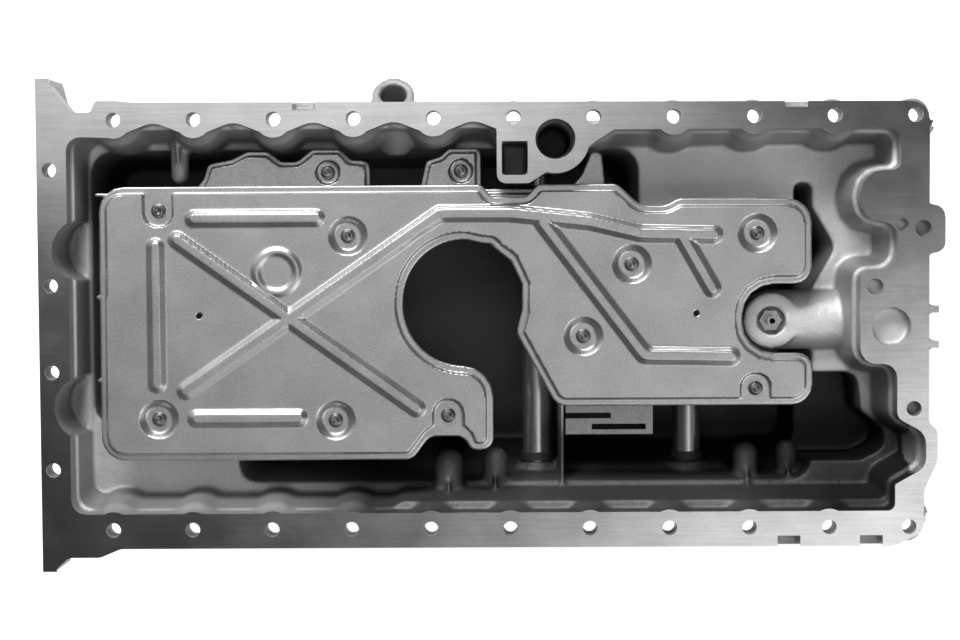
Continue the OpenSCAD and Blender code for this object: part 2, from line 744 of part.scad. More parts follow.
module upper_baffle() color("lightgray") {
    z = down(baffle_depth);
    top = z + field_rise;
    field = grown(baffle_outline(true), -rim_w);
    slope = field_rise + 0.4;
    difference() {
        union() {
            difference() {
                union() {
                    slab(baffle_outline(false), z - sheet_t, z);
                    slab(field, z - sheet_t, top);
                }
                slab(grown(field, -sheet_t), z - sheet_t - cut, top - sheet_t);
            }
            for (i = dished)
                translate([baffle_seats[i].x, baffle_seats[i].y, z - sheet_t])
                    cylinder(r1 = dish_r + sheet_t, r2 = dish_r + slope + sheet_t,
                        h = field_rise + sheet_t - 0.1);
            bead_layer(bead_w, top - 0.2, top + bead_rise * 0.55);
            bead_layer(bead_w * 0.6, top - 0.2, top + bead_rise);
            translate([ring_bead.x, ring_bead.y, top - 0.2])
                rotate_extrude()
                    polygon([[ring_bead_r - 3, 0], [ring_bead_r + 3, 0],
                        [ring_bead_r + 1, 1.4], [ring_bead_r - 1, 1.4]]);
            for (y = [75, 16, -32])
                translate([left(30.4), y - 1, z - sheet_t])
                    cube([6, 2, sheet_t]);
        }
        bead_layer(bead_w * 0.6 - sheet_t, top - sheet_t - 0.2, top + bead_rise - sheet_t);
        for (i = dished)
            translate([baffle_seats[i].x, baffle_seats[i].y, z])
                cylinder(r1 = dish_r, r2 = dish_r + slope + 0.4, h = field_rise + 0.35);
        for (p = baffle_seats)
            upright(p, screw_d + screw_gap, z - sheet_t - cut, z + cut);
        for (p = drips)
            upright(p, 2 * drip_r, z - sheet_t - cut, top + cut);
    }
}

// Screw with a flat head and a six-lobed socket
module sheet_screw(p, z) {
    difference() {
        union() {
            upright(p, screw_head_d, z, z + screw_head_h);
            upright(p, screw_d - 0.4, z - screw_l, z + cut);
        }
        translate([p.x, p.y, z + screw_head_h - 1.8])
            for (a = [0, 60, 120])
                rotate([0, 0, a])
                    translate([-screw_head_d * 0.28, -0.55, 0])
                        cube([screw_head_d * 0.56, 1.1, 3]);
    }
}
module baffle_screws() color("dimgray") {
    for (p = baffle_seats)
        sheet_screw(p, down(baffle_depth));
}
module lower_screws() color("dimgray") {
    for (p = lower_seats)
        sheet_screw(p, down(lower_depth));
}
module tray_screws() color("dimgray") {
    for (p = tray_seats)
        sheet_screw(p, down(tray_depth));
}

// Lower baffle: a second stamped sheet along the back wall, under the first
lower_outline = [
    [left(88), back(68), 5], [left(324), back(68), 5], [left(324), back(45), 2],
    [left(322.5), back(30), 3], [left(316.5), back(30), 2], [left(311), back(43), 4],
    [left(304), back(51), 5], [left(252.5), back(51), 3], [left(252.5), back(27.5), 3],
    [left(234), back(27.5), 2], [left(229), back(32), 4], [left(221), back(34.5), 4],
    [left(216), back(57), 5], [left(189), back(57), 5], [left(188), back(34.5), 4],
    [left(177), back(33.5), 4], [left(171), back(27.5), 4], [left(155), back(27.5), 4],
    [left(146), back(34.5), 6], [left(137), back(34.5), 6], [left(129), back(28.5), 4],
    [left(117), back(28.5), 4], [left(108), back(33), 5], [left(94.5), back(35.5), 4],
    [left(92), back(44), 4], [left(88), back(49), 3]];

lower_rim = 3;
lower_pad_r = 7;
module lower_baffle() color("gray") {
    z = down(lower_depth);
    top = z + lower_rise;
    main = concat([lower_outline[0], lower_outline[1], [left(321), back(51), 4]],
        [for (i = [7:len(lower_outline) - 1]) lower_outline[i]]);
    field = grown(main, -lower_rim);
    difference() {
        union() {
            difference() {
                union() {
                    slab(lower_outline, z - sheet_t, z);
                    slab(field, z - sheet_t, top);
                }
                slab(grown(field, -sheet_t), z - sheet_t - cut, top - sheet_t);
            }
            for (p = lower_seats)
                upright(p, 2 * (lower_pad_r + sheet_t), z - sheet_t, top);
        }
        for (p = lower_seats) {
            upright(p, 2 * lower_pad_r, z, top + cut);
            upright(p, screw_d + screw_gap, z - sheet_t - cut, z + cut);
        }
    }
}

// Tray over the deep sump, a folded sheet with two long slots
tray_x = divider_x + 2.4;
tray_front = front(59);
tray_seats = [for (d = [11.1, 37.1]) [tray_x + d, tray_front + 39]];
tray_w = 44;
module slotted_tray() color("gray") {
    z = down(tray_depth);
    difference() {
        union() {
            translate([tray_x, tray_front, z - tray_t])
                cube([tray_l, tray_w, tray_t]);
            translate([tray_x, tray_front, z - fold_h])
                cube([tray_l, tray_t, fold_h]);
            translate([tray_x + tray_l - tray_t, tray_front, z - fold_h])
                cube([tray_t, tray_w, fold_h]);
        }
        translate([tray_x - cut, tray_front + 9.5, z - tray_t - cut])
            cube([tray_l * 0.54, slot_w, tray_t + 2 * cut]);
        translate([tray_x + tray_l * 0.3, tray_front + 2.8, z - tray_t - cut])
            cube([tray_l * 0.62, slot_w, tray_t + 2 * cut]);
        for (p = tray_seats)
            upright(p, screw_d + screw_gap, z - tray_t - cut, z + cut);
    }
}

// Suction pipe from the gallery to the port column
module tube_along_y(x, y0, y1) {
    difference() {
        along_y(x, down(pipe_depth), pipe_d, y0, y1);
        along_y(x, down(pipe_depth), pipe_d - 2 * pipe_t, y0 - cut, y1 + cut);
    }
}
suction_back = back(46) + socket_l - 2;
module suction_pipe() color("silver") {
    tube_along_y(middle(suction_x), collar_y - socket_l + 1, suction_back);
}
module seal_ring(x, y) {
    difference() {
        along_y(x, down(pipe_depth), pipe_d + 2 * seal_t, y, y + seal_w);
        along_y(x, down(pipe_depth), pipe_d, y - cut, y + seal_w + cut);
    }
}
module suction_seals() color("black") {
    seal_ring(middle(suction_x), collar_y);
    seal_ring(middle(suction_x), back(46) - seal_w - 2.3);
}

// Strainer pipe: out of the gallery, then down into the hood
hood_y = back(128);
bend_r = 20;
hood_top = floor_t + strainer_gap + hood_h;
module strainer_pipe() color("silver") {
    x = middle(strainer_x);
    tube_along_y(x, collar_y - socket_l + 1, hood_y - bend_r);
    translate([x, hood_y - bend_r, down(pipe_depth) - bend_r])
        rotate([90, 0, 90])
            rotate_extrude(angle = 90)
                translate([bend_r, 0])
                    difference() {
                        circle(d = pipe_d);
                        circle(d = pipe_d - 2 * pipe_t);
                    }
    difference() {
        upright([x, hood_y], pipe_d, hood_top - 2.5, down(pipe_depth) - bend_r);
        upright([x, hood_y], pipe_d - 2 * pipe_t, hood_top - 3.5, down(pipe_depth) - bend_r + cut);
    }
}
module strainer_seal() color("black") {
    seal_ring(middle(strainer_x), collar_y);
}

hood_wall = 1.5;
module strainer_hood() color("dimgray") {
    x = middle(strainer_x);
    z = floor_t + strainer_gap;
    difference() {
        union() {
            translate([x, hood_y, z])
                cylinder(d = hood_d, h = hood_h * 0.45);
            translate([x, hood_y, z + hood_h * 0.45])
                cylinder(d1 = hood_d, d2 = pipe_d + 8, h = hood_h * 0.55);
            translate([x - 7, hood_y + hood_d / 2 - 4, floor_t + foot_boss_h])
                cube([14, foot_y - hood_y - hood_d / 2 + 11, 2]);
            translate([x - 7, hood_y + hood_d / 2 - 4, floor_t + foot_boss_h])
                cube([14, 4, z - floor_t - foot_boss_h + 3]);
        }
        translate([x, hood_y, z + screen_t - cut])
            cylinder(d = hood_d - 2 * hood_wall, h = hood_h * 0.45 - screen_t);
        translate([x, hood_y, floor_t])
            cylinder(d = hood_d - 2 * hood_wall, h = strainer_gap + screen_t);
        translate([x, hood_y, z + hood_h * 0.45 - cut - 0.01])
            cylinder(d1 = hood_d - 2 * hood_wall, d2 = pipe_d + 2, h = hood_h * 0.55);
        upright([x, hood_y], pipe_d + pipe_gap, z + hood_h - 4, z + hood_h + cut);
        upright([foot_x, foot_y], screw_d + screw_gap, floor_t, floor_t + foot_boss_h + 3);
    }
}
screen_t = 1;
module strainer_screen() color("silver") {
    x = middle(strainer_x);
    z = floor_t + strainer_gap;
    pitch = mesh_w + 1.2;
    reach = hood_d / 2 - hood_wall;
    n = floor(reach / pitch);
    difference() {
        upright([x, hood_y], 2 * reach - 0.1, z, z + screen_t);
        for (i = [-n:n], j = [-n:n])
            if (norm([i, j]) * pitch + mesh_w * 0.71 < reach - 1)
                translate([x + i * pitch - mesh_w / 2, hood_y + j * pitch - mesh_w / 2, z - cut])
                    cube([mesh_w, mesh_w, screen_t + 2 * cut]);
    }
}
module strainer_bolt() color("dimgray") {
    z = floor_t + foot_boss_h + 2;
    upright([foot_x, foot_y], screw_head_d, z, z + screw_head_h);
    upright([foot_x, foot_y], screw_d - 0.4, floor_t + 2, z + cut);
}

// Screwed plug that closes the gallery
plug_d = 20;
plug_l = 10;
module gallery_plug() color("gray") {
    difference() {
        along_x(gallery_y, down(pipe_depth), plug_d - pipe_gap, gallery_x1 - plug_l + 0.5, gallery_x1);
        translate([gallery_x1 - 5, gallery_y, down(pipe_depth)])
            rotate([0, 90, 0])
                cylinder(d = 9, h = 6, $fn = 6);
    }
}

// Hollow nozzle in the end of the oil way
nozzle_d = 8.6;
nozzle_seat_d = 16;
module oil_nozzle() color("gray") {
    seat = down(way_depth - way_d / 2 + 8);
    difference() {
        union() {
            upright([way_x, way_y], nozzle_d - pipe_gap, down(way_depth) + 2, seat + cut);
            translate([way_x, way_y, seat])
                cylinder(d = 13, h = 3, $fn = 6);
            upright([way_x, way_y], 6, seat + 2, seat + 11);
        }
        upright([way_x, way_y], 3.4, down(way_depth), seat + 12);
    }
}

// Drain plug with its washer, screwed into the front wall
module drain_plug() color("gray") {
    face = drain_face - washer_t;
    difference() {
        union() {
            translate([drain_x, face, drain_z])
                rotate([90, 0, 0])
                    cylinder(d = drain_flats / cos(30), h = 8, $fn = 6);
            along_y(drain_x, drain_z, drain_flats + 7, face - 2, face);
            along_y(drain_x, drain_z, drain_d - 0.3, face - cut, face + 16);
        }
        along_y(drain_x, drain_z, 6, face - 9, face - 3);
    }
}
module drain_washer() color("peru") {
    difference() {
        along_y(drain_x, drain_z, drain_flats + 5, drain_face - washer_t, drain_face);
        along_y(drain_x, drain_z, drain_d, drain_face - washer_t - cut, drain_face + cut);
    }
}

pan_casting();
upper_baffle();
baffle_screws();
lower_baffle();
lower_screws();
slotted_tray();
tray_screws();
suction_pipe();
suction_seals();
strainer_pipe();
strainer_seal();
strainer_hood();
strainer_screen();
strainer_bolt();
gallery_plug();
oil_nozzle();
drain_plug();
drain_washer();
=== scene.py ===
import bpy
import bmesh
import math
import numpy as np
from mathutils import Euler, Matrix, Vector
from mathutils.bvhtree import BVHTree


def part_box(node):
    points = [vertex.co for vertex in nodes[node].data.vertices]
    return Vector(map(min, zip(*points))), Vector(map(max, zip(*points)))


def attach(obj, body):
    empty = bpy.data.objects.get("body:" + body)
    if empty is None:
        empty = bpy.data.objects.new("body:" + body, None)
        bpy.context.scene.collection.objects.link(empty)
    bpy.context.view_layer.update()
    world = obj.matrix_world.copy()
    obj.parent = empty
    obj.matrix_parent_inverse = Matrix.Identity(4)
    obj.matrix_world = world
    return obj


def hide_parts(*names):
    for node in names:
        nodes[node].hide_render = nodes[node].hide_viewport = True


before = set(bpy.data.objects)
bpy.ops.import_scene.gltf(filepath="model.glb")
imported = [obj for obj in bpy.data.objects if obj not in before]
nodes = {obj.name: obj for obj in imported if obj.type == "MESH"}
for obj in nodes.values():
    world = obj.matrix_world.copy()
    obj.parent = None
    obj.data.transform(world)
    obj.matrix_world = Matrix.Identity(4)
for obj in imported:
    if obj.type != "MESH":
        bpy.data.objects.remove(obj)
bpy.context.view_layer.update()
scene = bpy.context.scene

# Camera, floor and light. The pan stands on a pale floor under a camera that looks
# straight down into it. The strong lamp is behind it, and the weak one near, at the right.

camera_data = bpy.data.cameras.new("camera")
camera_data.lens = 76.875
camera_data.sensor_width = 36.0
camera = bpy.data.objects.new("camera", camera_data)
camera.location = (0.00638, 0.05855, 1.29561)
camera.rotation_euler = Euler([math.radians(a) for a in (-2.765, 0.602, -0.373)])
scene.collection.objects.link(camera)
scene.camera = camera
scene.view_settings.view_transform = "Standard"


def new_material(name):
    """A material with an empty node tree, its output, and short ways to add and join nodes."""
    mat = bpy.data.materials.new(name)
    mat.use_nodes = True
    tree = mat.node_tree
    tree.nodes.clear()
    out = tree.nodes.new("ShaderNodeOutputMaterial")

    def add(kind, **values):
        node = tree.nodes.new("ShaderNode" + kind)
        for key, value in values.items():
            if key in node.inputs:
                node.inputs[key].default_value = value
            else:
                setattr(node, key, value)
        return node

    return mat, out, add, tree.links.new


def seen_directly(add, link):
    """1 where a camera, glossy or transmission ray looks, 0 for the light that falls on things."""
    path = add("LightPath")
    either = add("Math", operation="MAXIMUM")
    link(path.outputs["Is Camera Ray"], either.inputs[0])
    link(path.outputs["Is Glossy Ray"], either.inputs[1])
    any_of = add("Math", operation="MAXIMUM")
    link(either.outputs[0], any_of.inputs[0])
    link(path.outputs["Is Transmission Ray"], any_of.inputs[1])
    return any_of.outputs[0]


paper_glow = 0.72
floor_mat, out, add, link = new_material("floor paper")
paper = add("BsdfDiffuse", Color=(0.8, 0.8, 0.8, 1))
glow = add("Emission", Color=(1, 1, 1, 1))
share = add("Math", operation="MULTIPLY")
share.inputs[1].default_value = paper_glow
link(seen_directly(add, link), share.inputs[0])
link(share.outputs[0], glow.inputs["Strength"])
lit = add("AddShader")
link(paper.outputs[0], lit.inputs[0])
link(glow.outputs[0], lit.inputs[1])
link(lit.outputs[0], out.inputs["Surface"])
floor_mesh = bpy.data.meshes.new("floor")
floor_mesh.from_pydata([(-4, -4, 0), (4, -4, 0), (4, 4, 0), (-4, 4, 0)], [], [(0, 1, 2, 3)])
floor_mesh.materials.append(floor_mat)
floor = bpy.data.objects.new("floor", floor_mesh)
scene.collection.objects.link(floor)

world = bpy.data.worlds.new("studio")
scene.world = world
world.use_nodes = True
sky = world.node_tree
sky.nodes.clear()
sky_out = sky.nodes.new("ShaderNodeOutputWorld")
direction = sky.nodes.new("ShaderNodeTexCoord")
parts = sky.nodes.new("ShaderNodeSeparateXYZ")
sky.links.new(direction.outputs["Generated"], parts.inputs[0])


def risen(value, dark_end, bright_end, strength):
    """A strength that rises smoothly from 0 as a value goes from its dark end to its bright end."""
    fade = sky.nodes.new("ShaderNodeMapRange")
    fade.interpolation_type = "SMOOTHSTEP"
    fade.inputs["From Min"].default_value = dark_end
    fade.inputs["From Max"].default_value = bright_end
    fade.inputs["To Max"].default_value = strength
    sky.links.new(value, fade.inputs["Value"])
    return fade.outputs[0]


def panel(toward, dark_end, bright_end, strength):
    """A soft panel of light: its strength rises across the sky along a direction."""
    along = sky.nodes.new("ShaderNodeVectorMath")
    along.operation = "DOT_PRODUCT"
    along.inputs[1].default_value = toward
    sky.links.new(direction.outputs["Generated"], along.inputs[0])
    return risen(along.outputs["Value"], dark_end, bright_end, strength)


def both(op, a, b):
    """Two numbers of the sky joined by a sum or a product."""
    join = sky.nodes.new("ShaderNodeMath")
    join.operation = op
    for k, value in enumerate((a, b)):
        if isinstance(value, float):
            join.inputs[k].default_value = value
        else:
            sky.links.new(value, join.inputs[k])
    return join.outputs[0]


# Glossy rays and the light that falls on things see these panels. The camera sees plain white.
up, back, left = (0.0, 0.0, 1.0), (0.0, 1.0, 0.0), (-1.0, 0.0, 0.0)
dimmest = 0.05
steep = panel(up, 0.86, 0.95, 1.0)
near_right = both("MULTIPLY", panel((0.7, -1.0, 0.0), 0.12, 0.27, 1.3), steep)
far_left = both("MULTIPLY", panel(back, -0.01, 0.05, 1.0), panel(left, -0.13, 0.04, 1.0))
far_left = both("MULTIPLY", far_left, steep)
overhead = panel(up, 0.979, 0.997, 0.28)
crossed = both("MULTIPLY", both("MULTIPLY", parts.outputs["X"], parts.outputs["Y"]), -2.0)
low_light = both("ADD", risen(crossed, -0.05, 0.6, 0.7), dimmest)
mirror_light = both("ADD", both("ADD", near_right, far_left), both("ADD", overhead, low_light))
path = sky.nodes.new("ShaderNodeLightPath")
mirrored, white = (sky.nodes.new("ShaderNodeBackground") for _ in range(2))
for backdrop in (mirrored, white):
    backdrop.inputs["Color"].default_value = (1, 1, 1, 1)
sky.links.new(mirror_light, mirrored.inputs["Strength"])
seen = both("MAXIMUM", path.outputs["Is Camera Ray"], path.outputs["Is Transmission Ray"])
whole = sky.nodes.new("ShaderNodeMixShader")
sky.links.new(seen, whole.inputs[0])
sky.links.new(mirrored.outputs[0], whole.inputs[1])
sky.links.new(white.outputs[0], whole.inputs[2])
sky.links.new(whole.outputs[0], sky_out.inputs["Surface"])


def softbox(name, place, size, power):
    """A square lamp that looks at the middle of the pan."""
    lamp = bpy.data.lights.new(name, "AREA")
    lamp.shape = "RECTANGLE"
    lamp.size, lamp.size_y = size
    lamp.energy = power
    box = bpy.data.objects.new(name, lamp)
    box.location = place
    aim = Vector((0.0, 0.0, 0.08)) - Vector(place)
    box.rotation_euler = aim.to_track_quat("-Z", "Y").to_euler()
    scene.collection.objects.link(box)


softbox("back lamp", (-0.25, 1.0, 0.95), (0.8, 0.4), 17.0)
softbox("near lamp", (0.75, -0.75, 1.15), (0.7, 0.7), 2.6)

# The casting: one sand-cast aluminium shell with a milled rail face. Its edges and
# inner corners are rounded as cast ones are, and the face is cut flat and crisp.


def joined(node):
    """A CAD node's mesh with its loose triangles joined."""
    shell = bmesh.new()
    shell.from_mesh(nodes[node].data)
    bmesh.ops.remove_doubles(shell, verts=shell.verts, dist=2e-6)
    return shell


def plain_copy(node, name):
    """A new object with a CAD node's joined mesh."""
    shell = joined(node)
    mesh = bpy.data.meshes.new(name)
    shell.to_mesh(mesh)
    shell.free()
    mesh.materials.clear()
    obj = bpy.data.objects.new(name, mesh)
    scene.collection.objects.link(obj)
    return obj


def settle(obj):
    """Turns an object's modifiers into its plain mesh."""
    graph = bpy.context.evaluated_depsgraph_get()
    mesh = bpy.data.meshes.new_from_object(obj.evaluated_get(graph))
    obj.modifiers.clear()
    old = obj.data
    obj.data = mesh
    bpy.data.meshes.remove(old)


def rounded(obj, grain, passes):
    """Remeshes an object in square cells of size grain and rounds its edges."""
    remesh = obj.modifiers.new("cells", "REMESH")
    remesh.mode = "VOXEL"
    remesh.voxel_size = grain
    # Each pass draws the surface in and then pushes it out a little more, so that it keeps its size.
    for _ in range(passes):
        for push in (0.6, -0.62):
            soften = obj.modifiers.new("soften", "SMOOTH")
            soften.factor = push
            soften.iterations = 1
    settle(obj)


def thinned(obj, most):
    """Thins a mesh to about that many triangles, if two for each of its faces come to more."""
    count = 2 * len(obj.data.polygons)
    if count > most:
        lean = obj.modifiers.new("lean", "DECIMATE")
        lean.ratio = most / count
        settle(obj)


def shade(obj, angle):
    """Smooth shading up to an angle between faces."""
    obj.data.shade_smooth()
    obj.data.set_sharp_from_angle(angle=math.radians(angle))


def stretched(add, link, value, given, wanted):
    """A value of a material, brought from one range to another."""
    node = add("MapRange")
    for label, number in zip(("From Min", "From Max", "To Min", "To Max"), given + wanted):
        node.inputs[label].default_value = number
    link(value, node.inputs["Value"])
    return node.outputs[0]


def product(add, link, a, b):
    """Two values of a material multiplied."""
    node = add("Math", operation="MULTIPLY")
    link(a, node.inputs[0])
    link(b, node.inputs[1])
    return node.outputs[0]


def greys(add, link, first, share, second, second_share, dark, light):
    """Two noises summed by their shares, as a grey between two ends of (position, tone)."""
    part = add("Math", operation="MULTIPLY")
    part.inputs[1].default_value = second_share
    link(second, part.inputs[0])
    total = add("Math", operation="MULTIPLY_ADD")
    total.inputs[1].default_value = share
    link(first, total.inputs[0])
    link(part.outputs[0], total.inputs[2])
    ramp = add("ValToRGB")
    for end, (position, tone) in zip(ramp.color_ramp.elements, (dark, light)):
        end.position = position
        end.color = (tone, tone, tone, 1)
    link(total.outputs[0], ramp.inputs[0])
    return ramp.outputs[0]


def bumpy(add, link, height, strength, distance, under=None):
    """A normal roughened by a height, over the normal of the bump under it."""
    bump = add("Bump", Strength=strength, Distance=distance)
    link(height, bump.inputs["Height"])
    if under:
        link(under, bump.inputs["Normal"])
    return bump.outputs[0]


def skinned(add, link, out, metallic, colour, rough, normal):
    """The surface of a material."""
    skin = add("BsdfPrincipled", Metallic=metallic)
    link(colour, skin.inputs["Base Color"])
    link(rough, skin.inputs["Roughness"])
    link(normal, skin.inputs["Normal"])
    link(skin.outputs[0], out.inputs["Surface"])


def cast_metal():
    """Rough sand-cast aluminium with fine grit and faint flow stains, and painted shade on its inner
    surfaces: darker deeper down, on steep walls, in the bay and in the trough.
    """
    mat, out, add, link = new_material("cast aluminium")
    place = add("TexCoord")
    stains = add("TexNoise", Scale=24.0, Detail=5.0, Roughness=0.6)
    grit = add("TexNoise", Scale=950.0, Detail=3.0, Roughness=0.6)
    lumps = add("TexNoise", Scale=190.0, Detail=3.0, Roughness=0.55)
    for tex in (stains, grit, lumps):
        link(place.outputs["Object"], tex.inputs["Vector"])
    tone = greys(add, link, grit.outputs[0], 0.45, stains.outputs[0], 0.6, (0.3, 0.60), (0.75, 0.92))
    rough = stretched(add, link, stains.outputs[0], (0, 1), (0.42, 0.62))
    fine = bumpy(add, link, grit.outputs[0], 0.5, 0.0004)
    coarse = bumpy(add, link, lumps.outputs[0], 0.35, 0.0012, under=fine)
    where = add("SeparateXYZ")
    link(place.outputs["Object"], where.inputs[0])
    lie = add("NewGeometry")
    upward = add("SeparateXYZ")
    link(lie.outputs["Normal"], upward.inputs[0])
    # Painted shade: the tone darkens deeper in the pan and on steep walls.
    depth_shade = stretched(add, link, where.outputs["Z"], (0.04, 0.088), (0.1, 1))
    wall_shade = stretched(add, link, upward.outputs["Z"], (0.3, 0.9), (0.5, 1))
    painted_shade = product(add, link, depth_shade, wall_shade)

    def shade_patch(x_lit, x_shaded, y_lit, y_shaded, left_over):
        """The share of the tone that is left under a patch of painted shade: full on its lit side in X or in
        Y.
        """
        across = stretched(add, link, where.outputs["X"], (x_lit, x_shaded), (0, 1))
        along = stretched(add, link, where.outputs["Y"], (y_lit, y_shaded), (0, 1))
        return stretched(add, link, product(add, link, across, along), (0, 1), (1, left_over))

    # Painted shade: the first patch is the bay at the right end, and the second the trough along the near
    # wall.
    for patch_share in (shade_patch(0.14, 0.2, -0.02, -0.06, 0.25), shade_patch(-0.12, -0.07, -0.052, -0.07, 0.2)):
        painted_shade = product(add, link, painted_shade, patch_share)
    # The painted shade goes only on the inner surfaces; the others keep a fixed share of the tone.
    inner_shade_mask = add("Attribute")
    inner_shade_mask.attribute_name = "inner_shade_mask"
    shade_blend = add("MapRange")
    shade_blend.inputs["To Min"].default_value = 0.44
    link(inner_shade_mask.outputs["Fac"], shade_blend.inputs["Value"])
    link(painted_shade, shade_blend.inputs["To Max"])
    darkened = add("VectorMath", operation="SCALE")
    link(tone, darkened.inputs[0])
    link(shade_blend.outputs[0], darkened.inputs["Scale"])
    skinned(add, link, out, 0.42, darkened.outputs[0], rough, coarse)
    return mat


def milled_metal():
    """The milled rail face: bright, with faint cutter arcs and a few stains."""
    mat, out, add, link = new_material("milled aluminium")
    place = add("TexCoord")
    stains = add("TexNoise", Scale=30.0, Detail=4.0, Roughness=0.6)
    specks = add("TexNoise", Scale=1400.0, Detail=2.0, Roughness=0.5)
    arcs = add("TexWave", Scale=90.0, Distortion=4.0, Detail=2.0)
    arcs.wave_type = "RINGS"
    arcs.rings_direction = "SPHERICAL"
    for tex in (stains, specks, arcs):
        link(place.outputs["Object"], tex.inputs["Vector"])
    grain = add("Mapping")
    grain.inputs["Scale"].default_value = (9, 240, 240)
    link(place.outputs["Object"], grain.inputs["Vector"])
    brushed = add("TexNoise", Scale=3.0, Detail=3.0, Roughness=0.6)
    link(grain.outputs[0], brushed.inputs["Vector"])
    tone = greys(add, link, brushed.outputs[0], 0.35, stains.outputs[0], 0.65, (0.3, 0.46), (0.7, 0.68))
    rough = stretched(add, link, stains.outputs[0], (0, 1), (0.1, 0.17))
    cut = bumpy(add, link, arcs.outputs[0], 0.012, 0.0001)
    fine = bumpy(add, link, specks.outputs[0], 0.03, 0.0002, under=cut)
    skinned(add, link, out, 1.0, tone, rough, fine)
    return mat


def corners(mesh):
    """The vertices of a mesh as an array, one row each."""
    flat = np.empty(3 * len(mesh.vertices))
    mesh.vertices.foreach_get("co", flat)
    return flat.reshape(-1, 3)


face_depth = 0.0012
level = 0.999
rail_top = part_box("pan_casting")[1][2]
casting = plain_copy("pan_casting", "cast_body")
face = plain_copy("pan_casting", "rail_face")
cut = bmesh.new()
cut.from_mesh(face.data)
off = [f for f in cut.faces if f.normal.z < level or f.calc_center_median().z < rail_top - 1e-4]
bmesh.ops.delete(cut, geom=off, context="FACES")
bmesh.ops.dissolve_limit(cut, angle_limit=0.001, verts=cut.verts, edges=cut.edges)
bmesh.ops.triangulate(cut, faces=cut.faces)
cut.to_mesh(face.data)
cut.free()
plate = face.modifiers.new("plate", "SOLIDIFY")
plate.thickness = face_depth
plate.offset = -1.0
edge = face.modifiers.new("edge", "BEVEL")
edge.width = 0.00035
edge.segments = 2
edge.limit_method = "ANGLE"
edge.angle_limit = math.radians(50)
settle(face)
shade(face, 40)
for side in face.data.polygons:
    side.use_smooth = abs(side.normal.z) < level
face.data.materials.append(milled_metal())

# The corners inside the walls get the wide fillets of a casting, and the outside keeps its form.
inner_length, inner_width, under_rail, over_floor = 0.232, 0.112, 0.005, 0.004
rounded(casting, 0.0013, 4)
thinned(casting, 900000)
points = corners(casting.data)
inside = casting.vertex_groups.new(name="inside")
reach = np.abs(points[:, :2])
hollow = (reach[:, 0] < inner_length) & (reach[:, 1] < inner_width)
hollow &= (points[:, 2] < rail_top - under_rail) & (points[:, 2] > over_floor)
inside.add(np.nonzero(hollow)[0].tolist(), 1.0, "REPLACE")
fillets = casting.modifiers.new("fillets", "SMOOTH")
fillets.factor = 0.5
fillets.iterations = 9
fillets.vertex_group = "inside"
settle(casting)
thinned(casting, 180000)
casting.vertex_groups.clear()

# The cast body ends inside the thin milled face, so that the two never lie in one plane.
sunk = 0.0007
points = corners(casting.data)
points[:, 2] = np.minimum(points[:, 2], rail_top - sunk)
casting.data.vertices.foreach_set("co", points.ravel())
casting.data.update()
casting.data.materials.append(cast_metal())

# The painted shade goes on inner surfaces that have metal under them: a ray that starts just off the surface
# looks for it.
clearance, shade_length, shade_width, below_top = 0.0015, 0.24, 0.12, 0.0008
down = Vector((0, 0, -1))
metal = BVHTree.FromObject(casting, bpy.context.evaluated_depsgraph_get())
inner_shade_mask = casting.data.attributes.new("inner_shade_mask", "FLOAT", "POINT")
for v in casting.data.vertices:
    spot = v.co + clearance * v.normal
    if spot.z < rail_top - below_top and abs(spot.x) < shade_length and abs(spot.y) < shade_width:
        inner_shade_mask.data[v.index].value = metal.ray_cast(spot, down)[0] is not None
shade(casting, 60)
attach(casting, "root")
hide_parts("pan_casting")
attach(face, "root")

# The upper baffle: one satin sheet, stamped with round-topped beads, dished screw
# seats and a ring. It is screwed to the cast posts just under the rail.


def stamped_metal(name, dark, light, rough_low, rough_high):
    """Satin sheet: an even grey skin with the fine speckle of a dull rolled surface."""
    mat, out, add, link = new_material(name)
    place = add("TexCoord")
    clouds = add("TexNoise", Scale=40.0, Detail=4.0, Roughness=0.6)
    speck = add("TexNoise", Scale=1100.0, Detail=2.0, Roughness=0.65)
    for tex in (clouds, speck):
        link(place.outputs["Object"], tex.inputs["Vector"])
    tone = greys(add, link, speck.outputs[0], 0.65, clouds.outputs[0], 0.35, (0.36, dark), (0.64, light))
    rough = stretched(add, link, clouds.outputs[0], (0, 1), (rough_low, rough_high))
    fine = bumpy(add, link, speck.outputs[0], 0.12, 0.0002)
    skinned(add, link, out, 0.9, tone, rough, fine)
    return mat


sheet_grain = 0.0007
upper = plain_copy("upper_baffle", "upper_baffle_sheet")
rounded(upper, sheet_grain, 3)
thinned(upper, 180000)

# The window is cut with straight facets. Vertices near its edge move out to the true arcs,
# which are one on the right half and two on the left.
half_facet = math.radians(11.25)
right_half, low_half = -0.0085, 0.012
inward, outward, fade_width = 0.003, 0.012, 0.004
for v in upper.data.vertices:
    on_right = v.co.x > right_half
    if on_right:
        mid, radius = Vector((-0.005, 0.015)), 0.033
    else:
        mid, radius = Vector((-0.0155, 0.011 if v.co.y < low_half else 0.013)), 0.035
    arm = v.co.xy - mid
    if on_right and (arm.x < 0 or arm.y < 0) or not on_right and arm.x > 0:
        continue
    if radius - inward < arm.length < radius + outward:
        off_facet = math.atan2(arm.y, arm.x) % (2 * half_facet) - half_facet
        round_out = math.cos(off_facet) / math.cos(half_facet)
        fade = min(1.0, (radius + outward - arm.length) / fade_width)
        v.co.xy = mid + arm * (1 + (round_out - 1) * fade)
upper.data.materials.append(stamped_metal("satin sheet", 0.42, 0.60, 0.26, 0.36))
shade(upper, 70)
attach(upper, "root")
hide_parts("upper_baffle")

